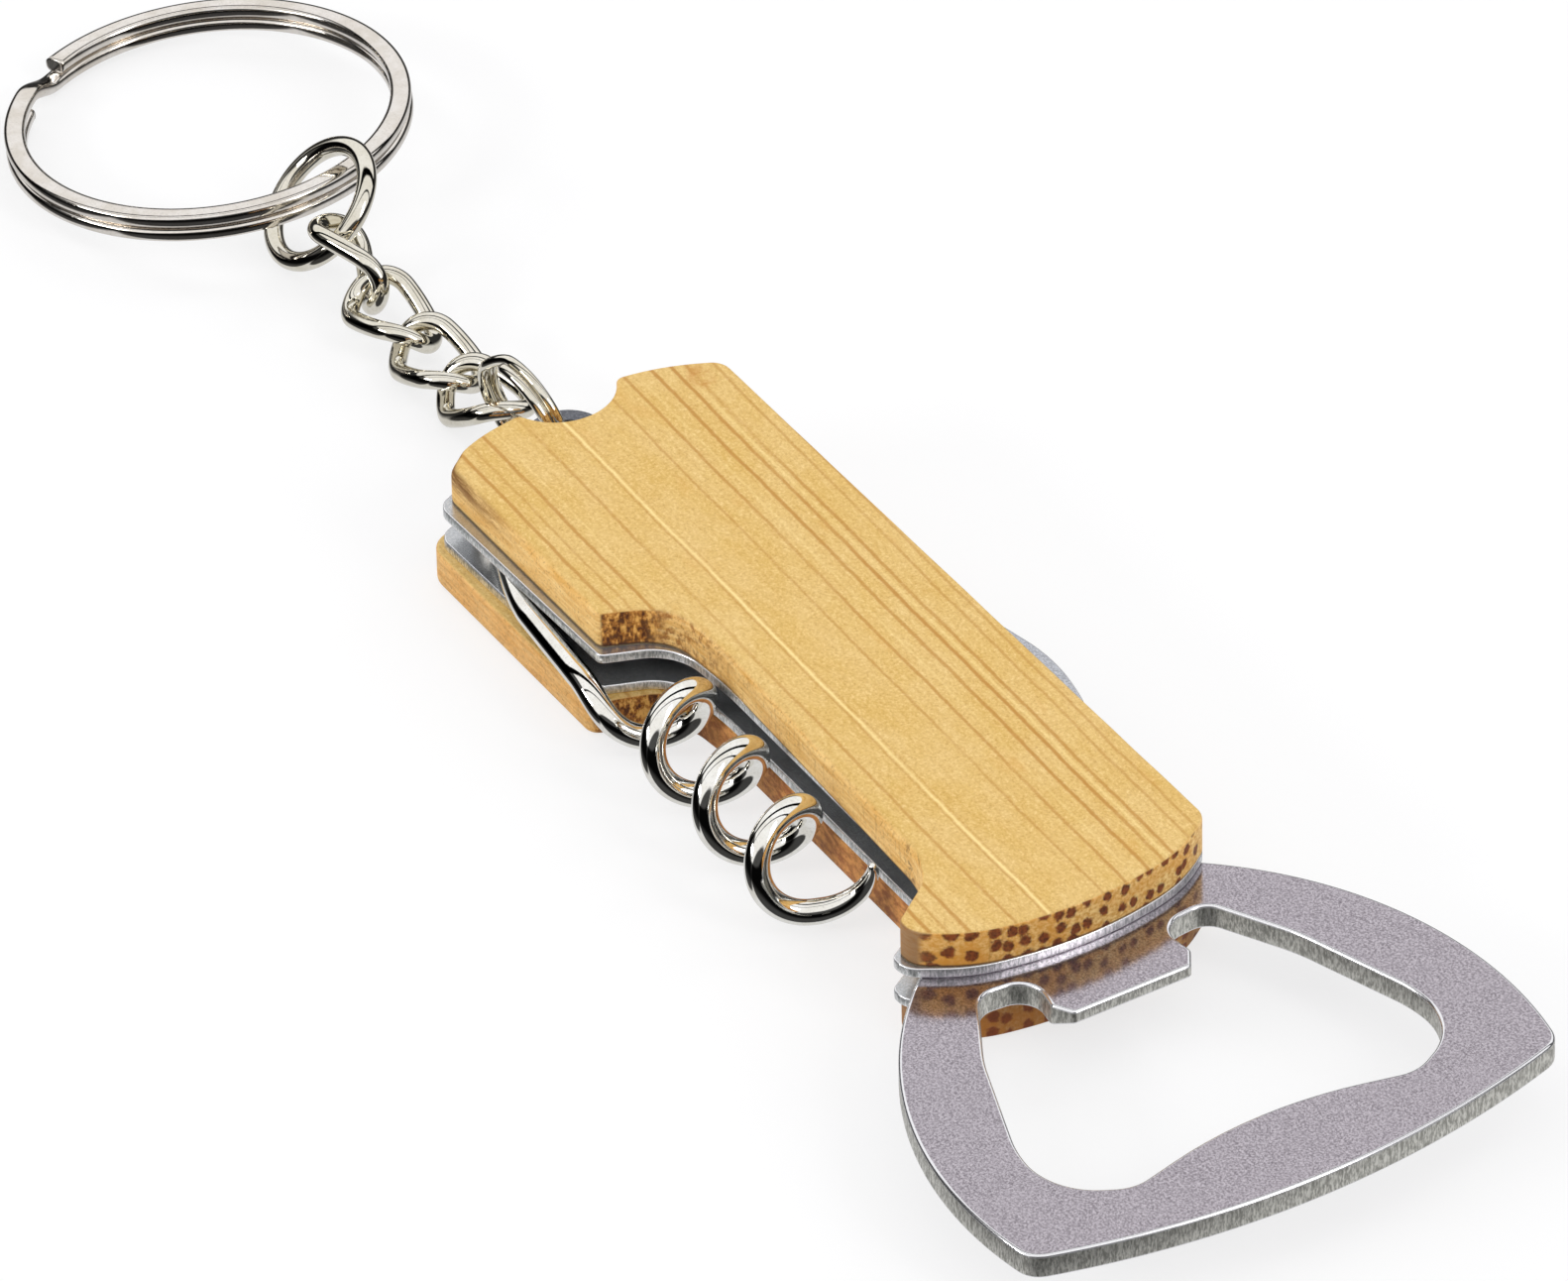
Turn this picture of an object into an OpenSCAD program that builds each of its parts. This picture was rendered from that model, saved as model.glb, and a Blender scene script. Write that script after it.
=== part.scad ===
// Keychain bottle opener: a bamboo-covered folding tool with a cap opener at
// one end, a folding corkscrew and a folding blade in its sides, and a short
// curb chain with a split ring at the other end.
// Millimetres. The handle lies on its bottom cover on Z = 0, its length along
// X with the opener head towards +X, the corkscrew on its -Y side and the
// blade on its +Y side.

/* [Handle] */
// thickness of each bamboo cover
scale_t = 3.05; // [2:0.05:5]
// thickness of each steel liner
liner_t = 0.8; // [0.5:0.1:1.5]
// gap between the liners, filled by the opener plate
slot_t = 2.0; // [1.5:0.1:3]
// half width of the handle at the chain end
half_w_tail = 11.6; // [9:0.1:14]
// half width of the handle at the opener end
half_w_head = 12.15; // [9:0.1:15]
// how far the liners stand out of the top cover on the -Y side, at the opener end
liner_proud = 0.6; // [0:0.1:1]
// Y of the bottom cover's -Y edge at the chain end, which stands out furthest
bottom_edge_y = -13.2; // [-13.6:0.1:-12]
// radius of the notch in the chain end
notch_r = 4.4; // [3:0.1:6]
// X of the notch's centre
notch_x = -33.2; // [-36:0.1:-30]
// Y of the straight part of the recess that the corkscrew lies in
recess_y = -6.3; // [-8:0.1:-4]

/* [Opener] */
// radius of the head's two side arcs
head_side_r = 30.2; // [25:0.1:40]
// radius of the head's front arc
head_front_r = 71; // [50:1:100]
// X of the front of the head
head_front_x = 68.3; // [60:0.1:80]
// half width of the opening for the cap
cap_half_w = 16.35; // [14:0.05:18]
// X of the tooth's edge
tooth_x = 44.2; // [42:0.1:47]
// half width of the tooth
tooth_half_w = 4.8; // [3:0.1:6]

/* [Corkscrew] */
// wire diameter
worm_wire = 1.9; // [1.5:0.1:2.5]
// radius of the helix, to the middle of the wire
worm_r = 3.1; // [2.5:0.1:4.5]
// distance between turns
worm_pitch = 7.7; // [6:0.1:9]
// number of turns
worm_turns = 3.55; // [2:0.05:4.5]
// how much further out the point lies than the middle of the wire
worm_flare = 0.85; // [0:0.05:1]
// angle of the helix axis to the handle's length
worm_angle = -3; // [-6:0.5:0]

/* [Blade] */
// blade thickness
blade_t = 1.8; // [1:0.1:1.9]

/* [Chain] */
// wire diameter of the curb links
link_wire = 1.4; // [1:0.1:1.8]
// outer length of a curb link
link_len = 9.3; // [8:0.1:11]
// outer width of a curb link
link_wid = 6.2; // [5:0.1:7]
// twist from one end of a curb link to the other
link_twist = -79; // [-90:1:90]
// wire diameter of the jump ring
jump_wire = 1.5; // [1:0.1:2]
// wire diameter of the small split ring
small_wire = 0.82; // [0.6:0.02:1]

/* [Key ring] */
// outer diameter of the split ring
ring_d = 30.8; // [24:0.1:36]
// width of the flat wire, across the ring
ring_wire_w = 1.6; // [1:0.1:2.5]
// height of the flat wire
ring_wire_h = 1.14; // [0.8:0.02:1.6]

/* [Hidden] */
$fn = 96;
z_liner_1 = scale_t;
z_slot = scale_t + liner_t;
z_liner_2 = z_slot + slot_t;
z_scale_2 = z_liner_2 + liner_t;
z_mid = z_slot + slot_t / 2;
steel_h = z_scale_2 - z_liner_1;

pin_r = 1.25;
pivot_fit = 0.04;
blade_pivot = [-24.6, 7.2];
worm_pivot = [-26.2, -8.2];
tab_rivet = [-23.6, 0];
spring_rivet = [8, -0.6];
opener_rivets = [[33.8, 4.8], [33.8, -4.8]];
opener_back_x = 30;
// the tooth's underside rises over this length to thin its edge by lip_rise
lip_run = 2;
lip_rise = 0.9;

// Corners of the -Y edge beside the recess: recess end, then chain end
top_edge = [[-8.2, -half_w_tail, 0.7], [-29.2, -half_w_tail, 1.6]];
liner_edge = [[-7.4, -half_w_tail - 0.5, 0.7], [-28.9, -half_w_tail - 1, 1.6]];
bottom_edge = [[-7, bottom_edge_y, 1.2], [-29.5, bottom_edge_y, 2.2]];
rivet_r = 1.5;
small_rivet_r = 1.1;

tab_center = [-32, 0.1];
tab_r = 3.05;
tab_hole_r = 1.85;

steel = [0.74, 0.74, 0.76];
bamboo = [0.86, 0.68, 0.36];
plate_steel = [0.66, 0.64, 0.68];

// ---- helpers -------------------------------------------------------------

function unit(v) = v / norm(v);

// Points of a closed outline with each corner rounded to its own radius.
// Each corner is [x, y, radius], in order around the outline.
function rounded(c) = [
    for (i = [0:len(c) - 1])
        let (
            p = [c[i][0], c[i][1]],
            a = c[(i + len(c) - 1) % len(c)],
            b = c[(i + 1) % len(c)],
            u = unit([a[0], a[1]] - p),
            v = unit([b[0], b[1]] - p),
            half = acos(max(-1, min(1, u * v))) / 2,
            r = c[i][2],
            m = p + unit(u + v) * r / sin(half),
            start = p + u * r / tan(half),
            turn = (cross(u, v) > 0 ? -1 : 1) * (180 - 2 * half),
            steps = max(1, ceil(abs(turn) / 9))
        )
        for (k = [0:steps])
            let (t = r == 0 ? 0 : turn * k / steps, d = start - m)
            if (r > 0 || k == 0)
                m + [d[0] * cos(t) - d[1] * sin(t), d[0] * sin(t) + d[1] * cos(t)]
];

function bezier(a, b, c, d, t) =
    pow(1 - t, 3) * a + 3 * t * pow(1 - t, 2) * b + 3 * t * t * (1 - t) * c + pow(t, 3) * d;

function smooth(t) = let (k = max(0, min(1, t))) k * k * (3 - 2 * k);

function tangent(path, i, closed) =
    let (n = len(path))
    closed ? unit(path[(i + 1) % n] - path[(i + n - 1) % n])
           : unit(path[min(n - 1, i + 1)] - path[max(0, i - 1)]);

// A tube of round or flat wire along a path. side[i] points across the tube
// at point i; half_w[i] is the half size that way and half_h[i] the other way.
module wire(path, side, half_w, half_h, closed, n = 12) {
    count = len(path);
    rings = closed ? count : count - 1;
    pts = [
        for (i = [0:count - 1])
            let (
                t = tangent(path, i, closed),
                u = unit(side[i] - (side[i] * t) * t),
                v = cross(t, u)
            )
            for (k = [0:n - 1])
                path[i] + half_w[i] * cos(360 * k / n) * u + half_h[i] * sin(360 * k / n) * v
    ];
    walls = [
        for (i = [0:rings - 1], k = [0:n - 1])
            let (
                a = i * n + k,
                b = i * n + (k + 1) % n,
                c = ((i + 1) % count) * n + (k + 1) % n,
                d = ((i + 1) % count) * n + k
            )
            each [[a, b, c], [a, c, d]]
    ];
    first = [for (k = [n - 1:-1:0]) k];
    last = [for (k = [0:n - 1]) (count - 1) * n + k];
    faces = closed ? walls : concat(walls, [first], [last]);
    polyhedron(points = pts, faces = [for (f = faces) [for (k = [len(f) - 1:-1:0]) f[k]]], convexity = 8);
}

function same(value, path) = [for (p = path) value];

// Moves a piece to its place: position, then turns about Z, Y and X.
module placed(pos, yaw, pitch, roll) {
    translate(pos)
        rotate([0, 0, yaw])
            rotate([0, -pitch, 0])
                rotate([roll, 0, 0])
                    children();
}

// ---- outlines ------------------------------------------------------------

// Handle outline with the corkscrew recess and the chain-end notch. The -Y
// side has its own corners at the chain end, can be moved out at the opener
// end, and the recess can be deeper there.
module handle_outline(edge, head_out = 0, deeper = 0) {
    difference() {
        polygon(rounded([
            [-32.3, 0, 32],
            [-30.95, 8.1, 17],
            [-29.1, half_w_tail + 0.1, 1.6],
            [34.7, half_w_head, 1.9],
            [37.2, 8.6, 12],
            [38.8, 0, 29],
            [37.2, -8.6, 12],
            [34.6, -half_w_head - head_out, 1.9],
            [33, -half_w_head - head_out, 0.8],
            [30, -8.1, 4],
            [27.2, -7.2 + deeper, 8],
            [0.5, recess_y, 30],
            [edge[0][0] + 2, recess_y - 0.6, 4.2],
            edge[0],
            edge[1],
            [-30.95, -8.1, 12]
        ]));
        translate([notch_x, 0])
            circle(r = notch_r);
    }
}

module opener_outline() {
    intersection() {
        translate([58, head_side_r - 22.45 - 0.02])
            circle(r = head_side_r, $fn = 180);
        translate([58, 22.45 - head_side_r + 0.02])
            circle(r = head_side_r, $fn = 180);
        translate([head_front_x - head_front_r, 0])
            circle(r = head_front_r, $fn = 240);
        translate([opener_back_x, -30])
            square([60, 60]);
    }
}

// The opening that takes the cap: tooth at the handle side, a low bump at the
// front, and a round notch on each side of the tooth.
module cap_opening() {
    polygon(rounded([
        [tooth_x, -tooth_half_w, 0.35],
        [tooth_x, tooth_half_w, 0.35],
        [42.7, 5.75, 0.5],
        [39.3, 5.2, 1.9],
        [38.9, 9.4, 1.9],
        [45.2, 12.9, 14],
        [54.5, cap_half_w - 0.15, 10],
        [59.6, cap_half_w + 0.35, 5.5],
        [62.35, 11.6, 3.4],
        [59.5, 0, 33],
        [62.35, -11.6, 3.4],
        [59.6, -cap_half_w - 0.35, 5.5],
        [54.5, -cap_half_w + 0.15, 10],
        [45.2, -12.9, 14],
        [38.9, -9.4, 1.9],
        [39.3, -5.2, 1.9],
        [42.7, -5.75, 0.5]
    ]));
}

// Blade with its spine on the +Y side and its tang around the pivot.
module blade_outline() {
    polygon(rounded([
        [-28.8, 11.4, 4.15],
        [-19, 11.4, 12],
        [-6, 12.3, 40],
        [9.5, 15.7, 16],
        [17, 14.4, 14],
        [25.2, 7.9, 0.4],
        [17, 4.9, 22],
        [2, 4.1, 60],
        [-17.4, 4.3, 1.2],
        [-18.6, 5.5, 0.8],
        [-20.6, 3.0, 1.8],
        [-28.8, 3.0, 4.15]
    ]));
}

// ---- covers and liners ----------------------------------------------------

module scale_bottom() {
    color(bamboo)
        linear_extrude(scale_t)
            handle_outline(bottom_edge, 0, 0.8);
}

module scale_top() {
    color(bamboo)
        translate([0, 0, z_scale_2])
            linear_extrude(scale_t)
                handle_outline(top_edge);
}

module rivet_holes() {
    for (p = [blade_pivot, worm_pivot])
        translate(p)
            circle(r = pin_r);
    for (p = concat([spring_rivet], opener_rivets))
        translate(p)
            circle(r = rivet_r);
    translate(tab_rivet)
        circle(r = small_rivet_r);
}

module liner(z) {
    color(steel)
        translate([0, 0, z])
            linear_extrude(liner_t)
                difference() {
                    handle_outline(liner_edge, liner_proud, 0.75);
                    rivet_holes();
                }
}

module liner_bottom() {
    liner(z_liner_1);
}

module liner_top() {
    liner(z_liner_2);
}

// ---- pieces between the liners --------------------------------------------

// The wedge that thins the tooth from below towards its edge.
module tooth_bevel() {
    slope = lip_rise / lip_run;
    translate([tooth_x, tooth_half_w + 1, z_slot])
        rotate([90, 0, 0])
            linear_extrude(2 * tooth_half_w + 2)
                polygon([
                    [-lip_run - 0.2 / slope, -0.2],
                    [1, -0.2],
                    [1, lip_rise + slope]
                ]);
}

module opener_plate() {
    color(plate_steel)
        difference() {
            translate([0, 0, z_slot])
                linear_extrude(slot_t)
                    difference() {
                        opener_outline();
                        cap_opening();
                        for (p = opener_rivets)
                            translate(p)
                                circle(r = rivet_r);
                    }
            tooth_bevel();
        }
}

module ring_tab() {
    color(steel)
        translate([0, 0, z_slot])
            linear_extrude(slot_t)
                difference() {
                    union() {
                        translate(tab_center)
                            circle(r = tab_r);
                        translate([tab_center[0], tab_center[1] - 2.6])
                            square([tab_rivet[0] - tab_center[0], 5.2]);
                        translate(tab_rivet)
                            circle(r = 2.6);
                    }
                    translate(tab_center)
                        circle(r = tab_hole_r);
                    translate(tab_rivet)
                        circle(r = small_rivet_r);
                }
}

module back_spring() {
    color(steel)
        translate([0, 0, z_slot])
            linear_extrude(slot_t)
                difference() {
                    polygon(rounded([
                        [-19.6, 0.9, 0.4],
                        [-19.6, -2.0, 0.8],
                        [8, -3.6, 60],
                        [25, -2.8, 1.2],
                        [25, 2.2, 1.2],
                        [8, 2.6, 60]
                    ]));
                    translate(spring_rivet)
                        circle(r = rivet_r);
                }
}

module blade() {
    color(steel)
        translate([0, 0, z_mid - blade_t / 2])
            linear_extrude(blade_t)
                difference() {
                    blade_outline();
                    translate(blade_pivot)
                        circle(r = pin_r + pivot_fit);
                }
}

// ---- pins and rivets -------------------------------------------------------

module steel_pin(p, r) {
    color(steel)
        translate([p[0], p[1], z_liner_1])
            cylinder(r = r, h = steel_h);
}

module blade_pivot_pin() {
    steel_pin(blade_pivot, pin_r);
}

module corkscrew_pivot_pin() {
    steel_pin(worm_pivot, pin_r);
}

module tab_rivet_pin() {
    steel_pin(tab_rivet, small_rivet_r);
}

module spring_rivet_pin() {
    steel_pin(spring_rivet, rivet_r);
}

module opener_rivet_pins() {
    for (p = opener_rivets)
        steel_pin(p, rivet_r);
}

// ---- corkscrew --------------------------------------------------------------

worm_start = [-4.6, -10.35, z_mid];

function worm_point(phi, r = worm_r) =
    let (
        run = worm_pitch * (phi - 180) / 360,
        across = r * cos(phi)
    )
    worm_start + [
        run * cos(worm_angle) - across * sin(worm_angle),
        run * sin(worm_angle) + across * cos(worm_angle),
        r * sin(phi)
    ];

worm_first_phi = 235;
worm_end_phi = 180 + 360 * worm_turns;
worm_steps = ceil((worm_end_phi - worm_first_phi) / 12);
// The last flare_angle degrees open out, so that the point lies outermost
flare_angle = 110;
function worm_r_at(phi) =
    worm_r + worm_flare * smooth((phi - worm_end_phi + flare_angle) / flare_angle);
worm_path = let (
        eye = [worm_pivot[0] + 1.2, worm_pivot[1] - 1.6, z_mid],
        bend = [-16.2, -12.6, z_mid],
        shank = [-8.6, -13.3, z_mid],
        entry = worm_point(worm_first_phi),
        lead = unit(worm_point(worm_first_phi + 1) - entry)
    ) concat(
        [for (t = [0:0.125:0.99]) bezier(eye, eye + [2.9, -0.95, 0], bend + [-2.8, 0.35, 0], bend, t)],
        [for (t = [0:0.25:0.99]) bend + t * (shank - bend)],
        [for (t = [0:0.1:0.99]) bezier(shank, shank + [2.6, -0.1, 0], entry - 2.2 * lead, entry, t)],
        [for (k = [0:worm_steps])
            let (phi = worm_first_phi + (worm_end_phi - worm_first_phi) * k / worm_steps)
            worm_point(phi, worm_r_at(phi))]
    );

// Carries a side vector along the path without twisting it.
function carried(path, i = 0, side = [0, 0, 1], done = []) =
    i == len(path) ? done :
    let (
        t = tangent(path, i, false),
        s = unit(side - (side * t) * t)
    )
    carried(path, i + 1, s, concat(done, [s]));

worm_taper = [
    for (i = [0:len(worm_path) - 1])
        let (left = (len(worm_path) - 1 - i) / 8)
        worm_wire / 2 * (left >= 1 ? 1 : 0.2 + 0.8 * sqrt(left))
];

module corkscrew() {
    color(steel)
        union() {
            difference() {
                translate([worm_pivot[0], worm_pivot[1], z_mid - blade_t / 2])
                    cylinder(r = 2.85, h = blade_t);
                translate([worm_pivot[0], worm_pivot[1], z_slot - 1])
                    cylinder(r = pin_r + pivot_fit, h = slot_t + 2);
            }
            wire(worm_path, carried(worm_path), worm_taper, worm_taper, false);
        }
}

// ---- chain --------------------------------------------------------------------

// Middle line of a curb link: a loop with round ends, twisted about its length.
function link_path() =
    let (
        rc = (link_wid - link_wire) / 2,
        s = (link_len - link_wid) / 2,
        flat = concat(
            [for (a = [-90:15:75]) [s + rc * cos(a), rc * sin(a)]],
            [for (k = [0:3]) [s - 2 * s * k / 4, rc]],
            [for (a = [90:15:255]) [-s + rc * cos(a), rc * sin(a)]],
            [for (k = [0:3]) [-s + 2 * s * k / 4, -rc]]
        )
    )
    [for (p = flat) twisted(p)];

function turn_at(x) = link_twist * x / (link_len - link_wire);

function twisted(p) = [p[0], p[1] * cos(turn_at(p[0])), p[1] * sin(turn_at(p[0]))];

function link_sides(path) = [
    for (i = [0:len(path) - 1])
        let (a = turn_at(path[i][0]))
        cross(tangent(path, i, true), [0, -sin(a), cos(a)])
];

module curb_link() {
    path = link_path();
    half = same(link_wire / 2, path);
    color(steel)
        wire(path, link_sides(path), half, half, true);
}

// Two turns of wire on one circle, stepping from the lower turn to the upper
// one over a short ramp that starts at step_a.
module split_coil(r, step, half_w, half_h, step_a, ramp, da, n = 12) {
    from = step_a + ramp - 360 + 2;
    to = step_a + 360 - 2;
    path = [
        for (k = [0:ceil((to - from) / da)])
            let (
                a = min(to, from + k * da),
                h = step * (smooth((a - step_a) / ramp) - 0.5)
            )
            [r * cos(a), r * sin(a), h]
    ];
    side = [for (p = path) unit([p[0], p[1], 0])];
    color(steel)
        wire(path, side, same(half_w, path), same(half_h, path), false, n);
}

module small_split_ring() {
    placed([-36.83, -0.62, 5.17], 18.01, -46.84, 107.8)
        split_coil(4.41, small_wire + 0.04, small_wire / 2, small_wire / 2, 150, 40, 12, 10);
}

module chain_link_1() {
    placed([-42.94, -0.6, 2.74], 11.18, 12.47, 16.4)
        curb_link();
}

module chain_link_2() {
    placed([-49.15, -0.87, 2.33], 4, 1.72, 10.86)
        curb_link();
}

module chain_link_3() {
    placed([-55.43, -0.92, 2.65], 3.3, -4.7, -1.47)
        curb_link();
}

module chain_link_4() {
    placed([-61.34, -0.64, 3.85], -2.32, -15.57, 120.83)
        curb_link();
}

module jump_ring() {
    color(steel)
        placed([-68.19, 0.49, 4.37], -7.02, 4.96, 44.06)
            rotate_extrude()
                translate([4.77, 0])
                    circle(d = jump_wire, $fn = 32);
}

module key_ring() {
    placed([-84, 0, 2.82], 0, 5.6, 2.4)
        split_coil(
            (ring_d - ring_wire_w) / 2, ring_wire_h + 0.04,
            ring_wire_w / 2, ring_wire_h / 2, 205, 16, 4
        );
}

scale_top();
scale_bottom();
liner_top();
liner_bottom();
opener_plate();
ring_tab();
back_spring();
blade();
corkscrew();
blade_pivot_pin();
corkscrew_pivot_pin();
tab_rivet_pin();
spring_rivet_pin();
opener_rivet_pins();
small_split_ring();
chain_link_1();
chain_link_2();
chain_link_3();
chain_link_4();
jump_ring();
key_ring();
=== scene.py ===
import math

import bmesh
import bpy
from mathutils import Matrix, Quaternion, Vector, noise


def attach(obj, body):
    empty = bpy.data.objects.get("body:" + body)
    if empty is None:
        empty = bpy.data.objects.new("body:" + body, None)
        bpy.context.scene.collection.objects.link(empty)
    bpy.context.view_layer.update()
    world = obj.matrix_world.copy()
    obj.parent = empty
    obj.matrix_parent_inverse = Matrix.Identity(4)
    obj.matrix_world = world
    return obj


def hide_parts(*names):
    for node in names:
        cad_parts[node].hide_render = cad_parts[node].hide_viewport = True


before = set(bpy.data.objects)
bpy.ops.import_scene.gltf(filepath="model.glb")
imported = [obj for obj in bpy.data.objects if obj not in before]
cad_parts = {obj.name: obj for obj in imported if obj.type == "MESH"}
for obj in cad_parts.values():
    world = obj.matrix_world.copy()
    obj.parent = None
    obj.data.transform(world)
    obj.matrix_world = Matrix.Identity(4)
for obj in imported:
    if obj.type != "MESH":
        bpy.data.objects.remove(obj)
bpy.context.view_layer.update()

MM = 0.001


# ---- sizes, in mm, as the CAD has them -------------------------------------

SCALE_T = 3.05
LINER_T = 0.8
SLOT_T = 2.0
Z_LINER_1 = SCALE_T
Z_SLOT = Z_LINER_1 + LINER_T
Z_LINER_2 = Z_SLOT + SLOT_T
Z_SCALE_2 = Z_LINER_2 + LINER_T
Z_MID = Z_SLOT + SLOT_T / 2
TAIL = 11.6
HEAD = 12.15
HEAD_PROUD = 0.6
RECESS = -6.3
TOOTH_X = 44.2
LIP_RUN, LIP_RISE = 2.0, 0.9
PIN_R = 1.25
RIVET_R = 1.5
SMALL_RIVET_R = 1.1
PIVOT_FIT = 0.04
BLADE_PIVOT = (-24.6, 7.2)
WORM_PIVOT = (-26.2, -8.2)
TAB_RIVET = (-23.6, 0.0)
SPRING_RIVET = (8.0, -0.6)
OPENER_RIVETS = ((33.8, 4.8), (33.8, -4.8))
BLADE_T = 1.8
WORM_EYE_R = 2.85
TURN_GAP = 0.04
SMALL_RING_R, SMALL_WIRE = 4.41, 0.82
JUMP_RING_R, JUMP_WIRE = 4.77, 1.5
KEY_RING_D, KEY_WIRE_W, KEY_WIRE_H = 30.8, 1.6, 1.14
# corners of each outline's -Y edge beside the recess: recess end, then chain end
TOP_EDGE = ((-8.2, -TAIL, 0.7), (-29.2, -TAIL, 1.6))
LINER_EDGE = ((-7.4, -TAIL - 0.5, 0.7), (-28.9, -TAIL - 1, 1.6))
BOTTOM_EDGE = ((-7, -13.2, 1.2), (-29.5, -13.2, 2.2))
# where each loose piece lies at rest: position, then yaw, pitch and roll in degrees
PLACES = {
    "small_split_ring": ((-36.83, -0.62, 5.17), 18.01, -46.84, 107.8),
    "chain_link_1": ((-42.94, -0.6, 2.74), 11.18, 12.47, 16.4),
    "chain_link_2": ((-49.15, -0.87, 2.33), 4.0, 1.72, 10.86),
    "chain_link_3": ((-55.43, -0.92, 2.65), 3.3, -4.7, -1.47),
    "chain_link_4": ((-61.34, -0.64, 3.85), -2.32, -15.57, 120.83),
    "jump_ring": ((-68.19, 0.49, 4.37), -7.02, 4.96, 44.06),
    "key_ring": ((-84.0, 0.0, 2.82), 0.0, 5.6, 2.4),
}


# ---- outlines ----------------------------------------------------------------

def rounded(corners, step=3.0):
    """Closed outline through [x, y, radius] corners, anticlockwise or not."""
    out = []
    n = len(corners)
    for i, (x, y, r) in enumerate(corners):
        p = Vector((x, y))
        u = (Vector(corners[i - 1][:2]) - p).normalized()
        v = (Vector(corners[(i + 1) % n][:2]) - p).normalized()
        if r == 0:
            out.append(p)
            continue
        half = math.acos(max(-1.0, min(1.0, u.dot(v)))) / 2
        middle = p + (u + v).normalized() * r / math.sin(half)
        start = p + u * r / math.tan(half) - middle
        turn = math.pi - 2 * half
        if u.x * v.y - u.y * v.x > 0:
            turn = -turn
        steps = max(2, math.ceil(abs(math.degrees(turn)) / step))
        for k in range(steps + 1):
            a = turn * k / steps
            out.append(middle + Vector((
                start.x * math.cos(a) - start.y * math.sin(a),
                start.x * math.sin(a) + start.y * math.cos(a))))
    return out


def resample(loop, gap):
    """The same closed outline with points about gap apart."""
    out = []
    n = len(loop)
    for i in range(n):
        a, b = loop[i], loop[(i + 1) % n]
        length = (b - a).length
        if length < 1e-6:
            continue
        count = max(1, round(length / gap))
        out += [a.lerp(b, k / count) for k in range(count)]
    return thin(out, gap * 0.3)


def thin(loop, least):
    """The closed outline without points closer than least to the one before."""
    out = []
    for p in loop:
        if not out or (p - out[-1]).length > least:
            out.append(p)
    while (out[0] - out[-1]).length < least:
        out.pop()
    return out


def circle(center, r, count=48):
    return [Vector((center[0] + r * math.cos(math.tau * k / count),
                    center[1] + r * math.sin(math.tau * k / count))) for k in range(count)]


def anticlockwise(loop):
    area = sum(a.x * b.y - b.x * a.y for a, b in zip(loop, loop[1:] + loop[:1]))
    return loop if area > 0 else loop[::-1]


def bite(loop, center, r, soft=0.35):
    """Cuts a round notch into the outline, with slightly softened corners."""
    loop = anticlockwise(loop)
    c = Vector(center)
    n = len(loop)
    inside = [(p - c).length < r for p in loop]
    first = next(i for i in range(n) if inside[i] and not inside[i - 1])
    last = next(i for i in range(n) if inside[i] and not inside[(i + 1) % n])

    def crossing(a, b):
        lo, hi = 0.0, 1.0
        for _ in range(40):
            m = (lo + hi) / 2
            if ((a.lerp(b, m) - c).length < r) == ((b - c).length < r):
                hi = m
            else:
                lo = m
        return a.lerp(b, hi)

    enter = crossing(loop[first - 1], loop[first])
    leave = crossing(loop[(last + 1) % n], loop[last])
    kept = [loop[(last + 1 + k) % n] for k in range((first - last - 1) % n)]
    kept = [p for p in kept if (p - enter).length > soft and (p - leave).length > soft]
    a0 = math.atan2(enter.y - c.y, enter.x - c.x)
    a1 = math.atan2(leave.y - c.y, leave.x - c.x)
    if a1 - a0 > math.pi:
        a1 -= math.tau
    if a0 - a1 > math.pi:
        a1 += math.tau
    # the arc passes on the side of the notch that lies in the handle, at angle 0
    arc = [c + r * Vector((math.cos(a0 + (a1 - a0) * k / 40), math.sin(a0 + (a1 - a0) * k / 40)))
           for k in range(41)]
    arc = [p for p in arc if (p - enter).length > soft and (p - leave).length > soft]

    def corner(a, p, b):
        return [a * (1 - t) ** 2 + p * 2 * t * (1 - t) + b * t * t for t in (0.25, 0.5, 0.75)]

    return kept + corner(kept[-1], enter, arc[0]) + arc + corner(arc[-1], leave, kept[0])


def handle_outline(edge, head_out=0.0, deeper=0.0):
    """Handle outline with its -Y edge's own corners, moved out at the head, deeper in the recess."""
    loop = rounded([
        (-32.3, 0, 32), (-30.95, 8.1, 17), (-29.1, TAIL + 0.1, 1.6),
        (34.7, HEAD, 1.9), (37.2, 8.6, 12), (38.8, 0, 29), (37.2, -8.6, 12),
        (34.6, -HEAD - head_out, 1.9), (33, -HEAD - head_out, 0.8), (30, -8.1, 4),
        (27.2, -7.2 + deeper, 8), (0.5, RECESS, 30), (edge[0][0] + 2, RECESS - 0.6, 4.2),
        edge[0], edge[1], (-30.95, -8.1, 12)])
    return bite(resample(anticlockwise(loop), 0.3), (-33.2, 0), 4.4)


def arc_points(center, r, start, end, count):
    return [Vector((center[0] + r * math.cos(start + (end - start) * k / count),
                    center[1] + r * math.sin(start + (end - start) * k / count)))
            for k in range(count + 1)]


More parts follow.
